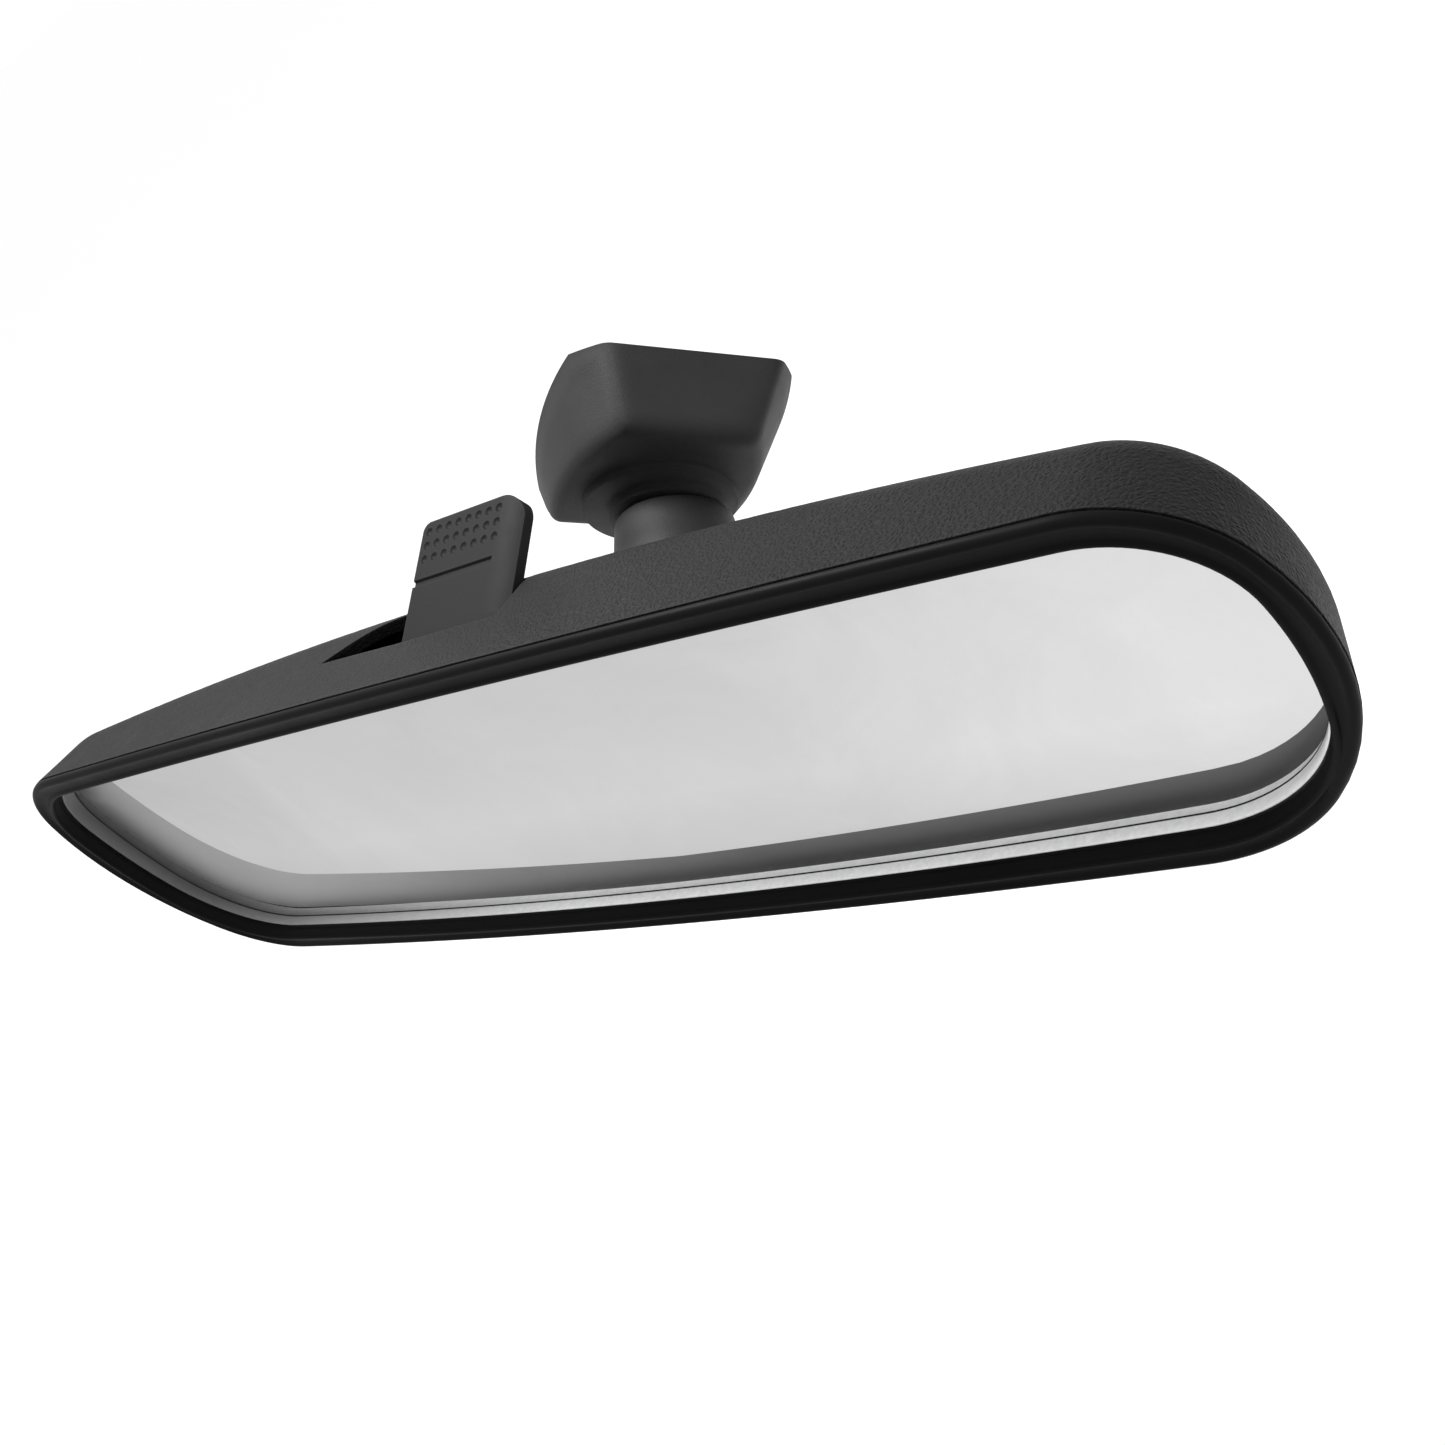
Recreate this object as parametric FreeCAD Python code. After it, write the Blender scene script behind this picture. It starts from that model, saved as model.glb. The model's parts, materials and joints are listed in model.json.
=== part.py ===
import FreeCAD, Part
import math
import os

V = FreeCAD.Vector
os.makedirs("parts", exist_ok=True)

# All sizes in millimetres.  The parts are laid out about the centre of the glass:
# X runs along the mirror, Y points backwards from the glass, Z points to the lever edge.

# ---- rim and glass outlines: four wide arcs joined by corner arcs ----
RIM = {"top": 34.7, "bottom": 34.2, "side": 126.6, "side_z": 5.0, "r_up": 4500.0, "r_down": 1400.0,
       "r_side": 42.0, "c_up": 19.6, "c_down": 27.0}
SIGHT = {"top": 30.2, "bottom": 31.0, "side": 122.5, "side_z": 4.0, "r_up": 4000.0, "r_down": 1150.0,
         "r_side": 62.0, "c_up": 16.8, "c_down": 24.5}

# ---- housing ----
rim_front = -3.2
rim_round = 1.1
lip_front = -2.6
parting = -1.6
draft = math.tan(math.radians(12.5))
back_y = 24.3
back_radius = 745.0
back_round = 9.3
wall = 2.2

# ---- glass ----
glass_lap = 0.9
glass_thin = 2.2
glass_thick = 3.6
coating = 0.2
foam_back = 5.4

# ---- inner frame ----
frame_front = 5.4
frame_thick = 2.0
hinge_y = 13.0
hinge_z = -23.5
hinge_pin_r = 1.5
run_gap = 0.05

# ---- day and night lever ----
axle_y = 14.4
axle_z = 26.0
axle_r = 1.25
lever_x0 = -8.0
lever_x1 = 15.0
hub_r = 3.6
crank_r = 4.36
crank_angle = -117.5
crank_pin_r = 1.2
slot_front = 9.4
lever_ear = 3.2
tab_rise = 17.0
tab_length = 21.6
tab_thick = 3.1
side_band = 4.8
side_drop = 1.4
groove_spot = 11.0
groove_half = 0.6
dimple_rows = 3
dimple_columns = 8
dimple_pitch_x = 2.36
dimple_pitch_y = 2.5
dimple_r = 0.9
dimple_lift = 0.48

# ---- ball joint ----
ball = V(0.0, 41.4, -18.0)
ball_r = 8.0
seat_r = 11.0
seat_half = 8.0
socket_r = 14.0
socket_half = 10.5
pitch_swing = 12.0

# ---- arm and foot ----
arm_yaw = 6.7
arm_pitch = 25.0
foot_roll = 52.5
foot_base = 36.0
neck_r = 4.6
shank_r = 7.0
collar_r = 11.6
collar_flare = 0.8
collar_shift = 1.2
collar_top = 32.1
collar_low = 18.5
ring_steps = [(15.0, 1.8, -1.4), (11.3, 3.6, 0.0)]
bracket_near = 14.5
bracket_far = 11.8


def arm_axes():
    """Unit vectors of the foot: width, rise and the arm's own axis."""
    yaw = math.radians(arm_yaw)
    pitch = math.radians(arm_pitch)
    roll = math.radians(foot_roll)
    axis = V(-math.sin(yaw) * math.cos(pitch), math.cos(yaw) * math.cos(pitch), math.sin(pitch))
    level = axis.cross(V(0, 0, 1)).normalize()
    upright = level.cross(axis)
    width = level * math.cos(roll) - upright * math.sin(roll)
    rise = level * math.sin(roll) + upright * math.cos(roll)
    return width, rise, axis


FOOT_W, FOOT_U, ARM = arm_axes()

# ---- foot, in its own axes: rise, width and height along the arm from the ball ----
screen_slope = 0.27
screen_height = 12.1
foot_near = 25.2
foot_far = 21.1
foot_near_draft = 0.33
foot_far_draft = 0.46
foot_near_bow = 54.0
foot_near_tuck = 2.2
foot_far_bow = 46.0
foot_far_peak = 2.7
cover_wall = 2.0
pad_thick = 0.8
button_thick = 2.6
bracket_thick = 1.5


# ---------------------------------------------------------------- shared shapes
def meet(c1, r1, c2, r2, outer):
    """Crossing point of two circles in the X-Z plane, on the side away from the middle."""
    dx = c2[0] - c1[0]
    dz = c2[1] - c1[1]
    gap = math.hypot(dx, dz)
    along = (gap * gap + r1 * r1 - r2 * r2) / (2.0 * gap)
    side = math.sqrt(max(r1 * r1 - along * along, 0.0))
    base = (c1[0] + dx * along / gap, c1[1] + dz * along / gap)
    picks = [(base[0] + s * side * dz / gap, base[1] - s * side * dx / gap) for s in (1, -1)]
    return max(picks, key=outer)


def outline(shape, inset, y):
    """Closed wire parallel to a named outline, drawn in by the inset."""
    top_c = (0.0, shape["top"] - shape["r_up"])
    low_c = (0.0, shape["r_down"] - shape["bottom"])
    side_c = (shape["side"] - shape["r_side"], shape["side_z"])
    r_top = shape["r_up"] - inset
    r_low = shape["r_down"] - inset
    r_side = shape["r_side"] - inset
    c_up = shape["c_up"] - inset
    c_low = shape["c_down"] - inset
    up = meet(top_c, r_top - c_up, side_c, r_side - c_up, lambda p: p[0] + p[1])
    low = meet(low_c, r_low - c_low, side_c, r_side - c_low, lambda p: p[0] - p[1])

    def push(centre, radius, through):
        dx = through[0] - centre[0]
        dz = through[1] - centre[1]
        size = math.hypot(dx, dz)
        return (centre[0] + dx * radius / size, centre[1] + dz * radius / size)

    a = push(top_c, r_top, up)
    b = push(side_c, r_side, up)
    c = push(side_c, r_side, low)
    d = push(low_c, r_low, low)
    up_mid = push(up, c_up, (a[0] + b[0] - up[0], a[1] + b[1] - up[1]))
    low_mid = push(low, c_low, (c[0] + d[0] - low[0], c[1] + d[1] - low[1]))
    side_mid = push(side_c, r_side, ((b[0] + c[0]) / 2.0, (b[1] + c[1]) / 2.0))

    def at(p, sign=1.0):
        return V(sign * p[0], y, p[1])

    arcs = [Part.Arc(at(a, -1), V(0, y, shape["top"] - inset), at(a)),
            Part.Arc(at(a), at(up_mid), at(b)),
            Part.Arc(at(b), at(side_mid), at(c)),
            Part.Arc(at(c), at(low_mid), at(d)),
            Part.Arc(at(d), V(0, y, inset - shape["bottom"]), at(d, -1)),
            Part.Arc(at(d, -1), at(low_mid, -1), at(c, -1)),
            Part.Arc(at(c, -1), at(side_mid, -1), at(b, -1)),
            Part.Arc(at(b, -1), at(up_mid, -1), at(a, -1))]
    return Part.Wire([arc.toShape() for arc in arcs])


def slab(shape, inset, y0, y1):
    return Part.Face(outline(shape, inset, y0)).extrude(V(0, y1 - y0, 0))


def block(x0, x1, y0, y1, z0, z1):
    return Part.makeBox(x1 - x0, y1 - y0, z1 - z0, V(x0, y0, z0))


def rod(radius, start, end):
    line = end - start
    return Part.makeCylinder(radius, line.Length, start, line)


def polygon(points):
    return Part.Face(Part.makePolygon(points + [points[0]]))


def fuse(shapes):
    return shapes[0].multiFuse(shapes[1:]).removeSplitter()


def pan_head_screw(radius, length, head_r, head_h, tip, direction):
    """Screw with its tip at a point; the direction runs from tip to head."""
    way = V(direction).normalize()
    seat = tip + way * length
    shank = Part.makeCylinder(radius, length, tip, way)
    head = Part.makeCylinder(head_r, head_h, seat, way)
    cross = Part.makeBox(head_r * 1.1, 0.5, head_h * 0.5, V(-head_r * 0.55, -0.25, 0))
    cross = cross.fuse(Part.makeBox(0.5, head_r * 1.1, head_h * 0.5, V(-0.25, -head_r * 0.55, 0)))
    turn = FreeCAD.Rotation(V(0, 0, 1), way)
    cross.Placement = FreeCAD.Placement(seat + way * head_h * 0.5, turn)
    return shank.fuse(head).cut(cross).removeSplitter()


nodes = {}

# ---------------------------------------------------------------- rear housing


def housing_body(inset, front, back, rounding):
    """Tapered body with a gently bowed, rounded back."""
    deep = 27.0
    shrink = draft * (deep - parting)
    taper = Part.makeLoft([outline(RIM, inset + draft * (front - parting), front),
                           outline(RIM, inset + shrink, deep)], True, True)
    bow = Part.makeCylinder(back_radius, 120, V(0, back - back_radius, -60), V(0, 0, 1))
    body = taper.common(bow)
    edges = [e for e in body.Edges if e.BoundBox.YMin > 12.0]
    return body.makeFillet(rounding, edges)


outer_body = housing_body(0.0, parting, back_y, back_round)
inner_body = housing_body(wall, parting - 1.0, back_y - wall, back_round - wall)
shell = outer_body.cut(inner_body)

# rebate for the glass and the bezel's inner lip
shell = shell.cut(slab(SIGHT, -glass_lap - 0.15, parting - 1.0, glass_thick + 0.4))

# round window in the back for the carrier's neck
shell = shell.cut(rod(10.8, V(0, 15, -16.0), V(0, 40, -16.0)))

# opening along the lever edge: the lever's slot and the pointed scoop beside it
slot = block(lever_x0 - 0.5, lever_x1 + 0.5, slot_front, 19.5, 20, 45)
relief_r = 7.1
relief = rod(relief_r, V(lever_x0 - 0.5, axle_y, axle_z), V(lever_x1 + 0.5, axle_y, axle_z))
scoop_tip = V(-27.5, 10.2, 20)
scoop_front = V(lever_x0 + 1.0, slot_front, 20)
scoop_back = V(lever_x0 + 1.0, 18.8, 20)
scoop_edge = Part.Wire([Part.makeLine(scoop_tip, scoop_front),
                        Part.makeLine(scoop_front, scoop_back),
                        Part.Arc(scoop_back, V(-17.5, 17.6, 20), V(-24.0, 13.6, 20)).toShape(),
                        Part.makeLine(V(-24.0, 13.6, 20), scoop_tip)])
scoop = Part.Face(scoop_edge).extrude(V(0, 0, 25))
shell = shell.cut(fuse([slot, scoop])).cut(relief)

# posts that take the frame screws
post_spots = [(sx * 78.0, z) for sx in (-1, 1) for z in (-15.0, 17.0)]
posts = []
for px, pz in post_spots:
    post = rod(3.2, V(px, frame_front + frame_thick, pz), V(px, 30, pz)).common(outer_body)
    posts.append(post)
shell = fuse([shell] + posts)
for px, pz in post_spots:
    shell = shell.cut(rod(1.3, V(px, frame_front, pz), V(px, 15.0, pz)))
nodes["rear_housing"] = shell

# ---------------------------------------------------------------- front bezel
ring = slab(RIM, 0.0, rim_front, parting)
front_edges = [e for e in ring.Edges if e.BoundBox.YMax < rim_front + 0.01]
ring = ring.makeFillet(rim_round, front_edges)
lap_ring = slab(SIGHT, -glass_lap, parting, 0.0)
sight_hole = slab(SIGHT, 0.0, rim_front - 1.0, 1.0)
dish = Part.makeLoft([outline(RIM, rim_round, rim_front), outline(SIGHT, -0.4, lip_front)], True, True)
bezel = fuse([ring, lap_ring]).cut(dish).cut(sight_hole)
nodes["front_bezel"] = bezel

# ---------------------------------------------------------------- wedge glass, coating and pad
glass_plan = slab(SIGHT, -glass_lap, 0.0, 10.0)
glass_top = SIGHT["top"] + glass_lap
glass_low = -SIGHT["bottom"] - glass_lap
slope = (glass_thick - glass_thin) / (glass_top - glass_low)


def behind_glass(extra):
    """Everything in front of the sloping rear face of the glass, plus a layer."""
    y_top = glass_thick + extra
    y_low = glass_thin + extra
    reach = 6.0
    side = polygon([V(-140, -1, glass_low - reach), V(-140, -1, glass_top + reach),
                    V(-140, y_top + slope * reach, glass_top + reach),
                    V(-140, y_low - slope * reach, glass_low - reach)])
    return side.extrude(V(280, 0, 0))


nodes["mirror_glass"] = glass_plan.common(behind_glass(0.0))
nodes["reflective_coating"] = glass_plan.common(behind_glass(coating)).cut(behind_glass(0.0))
pad = slab(SIGHT, 2.0, 0.0, foam_back).cut(behind_glass(coating))
nodes["foam_pad"] = pad

# ---------------------------------------------------------------- inner frame
frame = slab(SIGHT, 3.5, frame_front, frame_front + frame_thick)
for wx in (-56.0, 56.0):
    frame = frame.cut(block(wx - 14, wx + 14, 0, 20, -15, 17))
hinge_spans = [(15.0, 18.8), (30.2, 34.0)]
ears = []
for sx in (-1, 1):
    for e0, e1 in hinge_spans:
        x0 = min(sx * e0, sx * e1)
        ear = block(x0, x0 + 3.8, frame_front + 1.0, hinge_y, hinge_z - 3.4, hinge_z + 3.4)
        ears.append(ear.fuse(rod(3.4, V(x0, hinge_y, hinge_z), V(x0 + 3.8, hinge_y, hinge_z))))
for x0 in (lever_x0 - 0.4 - lever_ear, lever_x1 + 0.4):
    x1 = x0 + lever_ear
    ear = block(x0, x1, frame_front + 1.0, axle_y, axle_z - 2.6, axle_z + 2.0)
    ears.append(ear.fuse(rod(2.6, V(x0, axle_y, axle_z), V(x1, axle_y, axle_z))))
for px, pz in post_spots:
    ears.append(rod(3.2, V(px, frame_front, pz), V(px, frame_front + frame_thick, pz)))
frame = fuse([frame] + ears)
for sx in (-1, 1):
    frame = frame.cut(rod(hinge_pin_r, V(sx * 10, hinge_y, hinge_z), V(sx * 40, hinge_y, hinge_z)))
frame = frame.cut(rod(axle_r, V(-20, axle_y, axle_z), V(25, axle_y, axle_z)))
for px, pz in post_spots:
    frame = frame.cut(rod(1.7, V(px, 0, pz), V(px, 12, pz)))
    frame = frame.cut(rod(3.1, V(px, 0, pz), V(px, frame_front + 0.9, pz)))
nodes["inner_frame"] = frame
for number, (px, pz) in enumerate(post_spots, 1):
    tip = V(px, 14.0, pz)
    length = tip.y - frame_front - 0.9
    nodes["frame_screw_%d" % number] = pan_head_screw(1.3, length, 2.8, 0.9, tip, V(0, -1, 0))
    hole = rod(3.4, V(px, -1, pz), V(px, frame_front, pz))
    pad = pad.cut(hole)
nodes["foam_pad"] = pad

for side, sx in (("left", -1), ("right", 1)):
    pin = rod(hinge_pin_r, V(sx * 14.4, hinge_y, hinge_z), V(sx * 34.6, hinge_y, hinge_z))
    nodes["hinge_pin_" + side] = pin
nodes["lever_axle"] = rod(axle_r, V(lever_x0 - 4.2, axle_y, axle_z), V(lever_x1 + 4.2, axle_y, axle_z))

# ---------------------------------------------------------------- lever
pin_y = axle_y + crank_r * math.cos(math.radians(crank_angle))
pin_z = axle_z + crank_r * math.sin(math.radians(crank_angle))
rise_dir = V(0, math.cos(math.radians(tab_rise)), math.sin(math.radians(tab_rise)))
thick_dir = V(0, -math.sin(math.radians(tab_rise)), math.cos(math.radians(tab_rise)))


def side_slope(tip):
    """What the rounded-down right side of the tab takes away, from its tip back to the heel."""
    curve_r = (side_band ** 2 + side_drop ** 2) / (2.0 * side_drop)
    start = V(lever_x1 - side_band, tip.y, tip.z)
    half_drop = curve_r - math.sqrt(curve_r ** 2 - side_band ** 2 / 4.0)
    middle = start + V(side_band / 2.0, 0, 0) - thick_dir * half_drop
    end = V(lever_x1, tip.y, tip.z) - thick_dir * side_drop
    above = V(lever_x1, tip.y, tip.z) + thick_dir
    edge = Part.Wire([Part.Arc(start, middle, end).toShape(), Part.makeLine(end, above),
                      Part.makeLine(above, start + thick_dir), Part.makeLine(start + thick_dir, start)])
    return Part.Face(edge).extrude(rise_dir * (-tab_length + 1.5))


def cross_groove(tip):
    """Finger groove across the tab, ending short of the rounded side."""
    middle = V(lever_x0 - 1.0, tip.y, tip.z) - rise_dir * groove_spot
    floor_half = groove_half * 0.6
    section = polygon([middle - rise_dir * groove_half, middle + rise_dir * groove_half,
                       middle + rise_dir * floor_half - thick_dir * 0.45,
                       middle - rise_dir * floor_half - thick_dir * 0.45])
    return section.extrude(V(lever_x1 - 4.5 - lever_x0 + 1.0, 0, 0))


def dimples(tip):
    """Rows of small round hollows near the tip."""
    first = V(lever_x0 + 1.6, tip.y, tip.z) - rise_dir * 1.9 + thick_dir * dimple_lift
    hollows = []
    for row in range(dimple_rows):
        for column in range(dimple_columns):
            spot = first + V(dimple_pitch_x * column, 0, 0) - rise_dir * dimple_pitch_y * row
            hollows.append(Part.makeSphere(dimple_r, spot))
    return Part.makeCompound(hollows)


def lever_shape():
    width = lever_x1 - lever_x0
    hub = rod(hub_r, V(lever_x0, axle_y, axle_z), V(lever_x1, axle_y, axle_z))
    heel = V(lever_x0, 10.5, 30.9)
    tip = heel + rise_dir * tab_length
    under_tip = tip - thick_dir * tab_thick
    bend = V(lever_x0, 16.6, axle_z + 3.4)
    neck = polygon([V(lever_x0, axle_y - hub_r, axle_z), V(lever_x0, axle_y - 3.9, axle_z + 3.0), heel,
                    tip, under_tip, bend, V(lever_x0, axle_y + hub_r, axle_z)])
    neck = neck.extrude(V(width, 0, 0))
    body = hub.fuse(neck)
    hub_gap = block(-3.9, 3.9, axle_y - 5, axle_y + 6, axle_z - 6, axle_z + 2.5)
    core = rod(2.0, V(-3.9, axle_y, axle_z), V(3.9, axle_y, axle_z))
    body = body.cut(hub_gap).fuse(core)
    for x0, x1 in ((-6.3, -3.9), (3.9, 6.3)):
        web = rod(2.3, V(x0, pin_y, pin_z), V(x1, pin_y, pin_z))
        body = body.fuse(web)
    body = body.cut(rod(crank_pin_r, V(-6.3, pin_y, pin_z), V(6.3, pin_y, pin_z)))
    body = body.cut(rod(axle_r + run_gap, V(-20, axle_y, axle_z), V(20, axle_y, axle_z)))
    body = body.removeSplitter()
    corners = [e for e in body.Edges
               if e.BoundBox.YMin > tip.y - 2.5 and e.BoundBox.XLength < 0.01 and e.Length < tab_thick + 0.1]
    right = [e for e in corners if e.BoundBox.XMin > 0]
    left = [e for e in corners if e.BoundBox.XMin < 0]
    body = body.makeFillet(4.2, right)
    left = [e for e in body.Edges if e.BoundBox.YMin > tip.y - 2.5 and e.BoundBox.XLength < 0.01
            and e.BoundBox.XMin < 0 and e.Length < tab_thick + 0.1]
    body = body.makeFillet(1.6, left)
    return body.cut(side_slope(tip)).cut(cross_groove(tip)).cut(dimples(tip))


nodes["day_night_lever"] = lever_shape()
nodes["crank_pin"] = rod(crank_pin_r, V(-6.3, pin_y, pin_z), V(6.3, pin_y, pin_z))

# ---------------------------------------------------------------- toggle carrier and socket
fork_floor = 19.7
plate = block(-33, 33, 10.0, 12.2, -19.5, 18.5)
plate = plate.fuse(block(-3.2, 3.2, 10.0, 12.2, 18.0, fork_floor))
for sx in (-1, 1):
    x0 = min(sx * 19.0, sx * 30.0)
    plate = plate.fuse(block(x0, x0 + 11.0, 10.0, 12.2, hinge_z, -19.0))
    plate = plate.fuse(rod(3.2, V(x0, hinge_y, hinge_z), V(x0 + 11.0, hinge_y, hinge_z)))
    plate = plate.fuse(block(sx * 14.0 - 1.0, sx * 14.0 + 1.0, 12.2, 15.2, -16.0, 17.0))
fork_gap = crank_pin_r + 0.15
fork = block(-3.2, 3.2, pin_y - fork_gap - 1.3, pin_y + fork_gap + 1.3, 18.0, 23.5)
fork = fork.cut(block(-4, 4, pin_y - fork_gap, pin_y + fork_gap, fork_floor, 30))
neck_start = V(0, 12.0, -17.0)
neck_tube = rod(7.6, neck_start, V(0, ball.y - 10.0, -17.0))
gusset = block(-1.2, 1.2, 12.0, 18.0, -10.0, 6.0)
socket_front = rod(socket_r, ball - V(0, 0, socket_half), ball + V(0, 0, socket_half))
socket_ears = block(-20.0, 20.0, ball.y - 3.5, ball.y + 3.5, ball.z - 4.0, ball.z + 4.0)
socket = socket_front.fuse(socket_ears)
bore = rod(seat_r + run_gap, ball - V(0, 0, seat_half + run_gap), ball + V(0, 0, seat_half + run_gap))
socket = socket.cut(bore)


def arm_window(clear, yaw_swing):
    """Flared opening that leaves room for the arm's neck as it swings about the ball."""
    depth = 22.0
    left = math.tan(math.radians(arm_yaw + yaw_swing))
    right = math.tan(math.radians(yaw_swing - arm_yaw))
    low = math.tan(math.radians(arm_pitch - pitch_swing))
    high = math.tan(math.radians(arm_pitch + pitch_swing)) * 1.03
    half = neck_r + clear
    wires = []
    for d in (0.0, depth):
        x0 = ball.x - half * 1.08 - left * d
        x1 = ball.x + half * 1.02 + right * d
        z0 = ball.z - half * 1.05 + low * d
        z1 = ball.z + half * 1.28 + high * d
        y = ball.y + d
        wires.append(Part.makePolygon([V(x0, y, z0), V(x1, y, z0), V(x1, y, z1), V(x0, y, z1), V(x0, y, z0)]))
    return Part.makeLoft(wires, True, True)


window = arm_window(0.8, 14.0)
screw_x = 17.2
for sx in (-1, 1):
    socket = socket.cut(rod(1.3, V(sx * screw_x, 30, ball.z), V(sx * screw_x, 50, ball.z)))
front_half = socket.common(block(-30, 30, 0, ball.y, -40, 10))
rear_half = socket.common(block(-30, 30, ball.y, 80, -40, 10)).cut(window)
carrier = fuse([plate, fork, neck_tube.cut(bore), gusset, front_half])
for sx in (-1, 1):
    pin_hole = rod(hinge_pin_r + run_gap, V(sx * 10, hinge_y, hinge_z), V(sx * 40, hinge_y, hinge_z))
    carrier = carrier.cut(pin_hole)
nodes["toggle_carrier"] = carrier
nodes["socket_cap"] = rear_half
for side, sx in (("left", -1), ("right", 1)):
    tip = V(sx * screw_x, ball.y - 3.2, ball.z)
    nodes["socket_screw_" + side] = pan_head_screw(1.3, 6.7, 2.4, 1.2, tip, V(0, 1, 0))

seat = rod(seat_r, ball - V(0, 0, seat_half), ball + V(0, 0, seat_half))
seat = seat.cut(Part.makeSphere(ball_r + run_gap, ball))
seat_slot = arm_window(0.5, 0.0)
nodes["ball_seat_front"] = seat.common(block(-30, 30, 0, ball.y, -40, 10)).cut(seat_slot)
nodes["ball_seat_rear"] = seat.common(block(-30, 30, ball.y, 80, -40, 10)).cut(seat_slot)

# ---------------------------------------------------------------- arm
foot_frame = FreeCAD.Placement(FreeCAD.Matrix(FOOT_U.x, FOOT_W.x, ARM.x, ball.x,
                                              FOOT_U.y, FOOT_W.y, ARM.y, ball.y,
                                              FOOT_U.z, FOOT_W.z, ARM.z, ball.z,
                                              0, 0, 0, 1))


def in_foot(shape):
    """Moves a shape drawn in the foot's own axes (rise, width, arm) into place."""
    return shape.transformed(foot_frame.toMatrix())


shank_top = foot_base + 6.5
stud = fuse([Part.makeSphere(ball_r),
             Part.makeCylinder(neck_r, 16.0, V(0, 0, 4)),
             Part.makeCone(neck_r, shank_r, 2.5, V(0, 0, 18.0)),
             Part.makeCylinder(shank_r, shank_top - 20.5, V(0, 0, 20.5))])
nodes["ball_stud"] = in_foot(stud)

collar_height = collar_top - collar_low
collar = Part.makeCone(collar_r + collar_flare, collar_r, collar_height, V(0, collar_shift, collar_low))
collar = collar.makeFillet(2.2, [e for e in collar.Edges if e.BoundBox.ZMin > collar_top - 0.1])
collar = collar.cut(Part.makeCylinder(shank_r, 40, V(0, 0, 10)))
collar = collar.cut(Part.makeCylinder(collar_r - 2.0, 7.5, V(0, 0, collar_low - 1)))
nodes["arm_collar"] = in_foot(collar)

# ---------------------------------------------------------------- foot
def foot_block(inset):
    """Wedge-shaped shoe between the arm's face and the windscreen plane."""
    low = foot_base + inset
    profile = [V(24.8 - inset, -40, low), V(28.6 - inset, -40, foot_base + 15.0),
               V(28.6 - inset, -40, foot_base + 40.0), V(-15.6 + inset, -40, foot_base + 40.0),
               V(-15.6 + inset, -40, foot_base + 4.0), V(-12.4 + inset * 0.6, -40, low)]
    prism = polygon(profile).extrude(V(0, 80, 0))

    def plan(z):
        above = z - foot_base - 12.0
        hi = foot_far - inset + foot_far_draft * above
        lo = inset - foot_near - foot_near_draft * above
        bend = 34.0 ** 2 / (2.0 * foot_near_bow)
        ends = [hi - (u - foot_far_peak) ** 2 / (2.0 * foot_far_bow) for u in (-34.0, 34.0)]
        far = Part.Arc(V(-34, ends[0], z), V(foot_far_peak, hi, z), V(34, ends[1], z)).toShape()
        near_top = V(34, lo + bend + foot_near_tuck, z)
        near = Part.Arc(near_top, V(0, lo, z), V(-34, lo + bend, z)).toShape()
        top = Part.makeLine(V(34, ends[1], z), near_top)
        bottom = Part.makeLine(V(-34, lo + bend, z), V(-34, ends[0], z))
        return Part.Wire([far, top, near, bottom])

    sides = Part.makeLoft([plan(low), plan(foot_base + 40.0)], True, True)
    return prism.common(sides)


def below_screen(shift):
    """Half space on the arm's side of the windscreen plane, moved along its normal."""
    lift = screen_height + foot_base + shift * math.hypot(1.0, screen_slope)
    face = polygon([V(-60, -60, lift - 60 * screen_slope), V(60, -60, lift + 60 * screen_slope),
                    V(60, -60, -60), V(-60, -60, -60)])
    return face.extrude(V(0, 120, 0))


shoe = foot_block(0.0)
crease = [e for e in shoe.Edges if e.BoundBox.ZMax < foot_base + 39.0 or e.BoundBox.ZLength > 5.0]
shoe = shoe.makeFillet(2.6, crease)
top_front = polygon([V(30.0, -40, foot_base + 14.6), V(12.0, -40, foot_base + 19.3),
                     V(12.0, -40, foot_base + 60), V(40, -40, foot_base + 60)]).extrude(V(0, 80, 0))
shoe = shoe.common(below_screen(-0.5)).cut(top_front)
hollow = foot_block(cover_wall).common(below_screen(4.0)).cut(top_front.translated(V(0, 0, -cover_wall)))
cover = shoe.cut(hollow)
steps = [Part.makeCylinder(r, h + 1.0, V(0, shift, foot_base - h)) for r, h, shift in ring_steps]
cover = fuse([cover] + steps)
cover = cover.cut(Part.makeCylinder(shank_r + run_gap, 30, V(0, 0, foot_base - 10)))
nodes["foot_cover"] = in_foot(cover)

normal_turn = FreeCAD.Rotation(V(0, 0, 1), V(-screen_slope, 0, 1))
pad_u = 4.5
pad_spot = V(pad_u, 0, foot_base + screen_height + screen_slope * pad_u)
screen_frame = FreeCAD.Placement(pad_spot, normal_turn)


def on_screen(shape):
    """Moves a shape drawn on the windscreen plane into the foot's axes, then into place."""
    return in_foot(shape.transformed(screen_frame.toMatrix()))


def rounded_plate(length, width, corner, z0, z1):
    plate_box = Part.makeBox(length, width, z1 - z0, V(-length / 2.0, -width / 2.0, z0))
    return plate_box.makeFillet(corner, [e for e in plate_box.Edges if e.BoundBox.ZLength > (z1 - z0) * 0.9])


nodes["adhesive_pad"] = on_screen(rounded_plate(21.0, 32.0, 6.0, -pad_thick, 0.0))
nodes["screen_button"] = on_screen(rounded_plate(21.0, 32.0, 6.0, -pad_thick - button_thick, -pad_thick))

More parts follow.
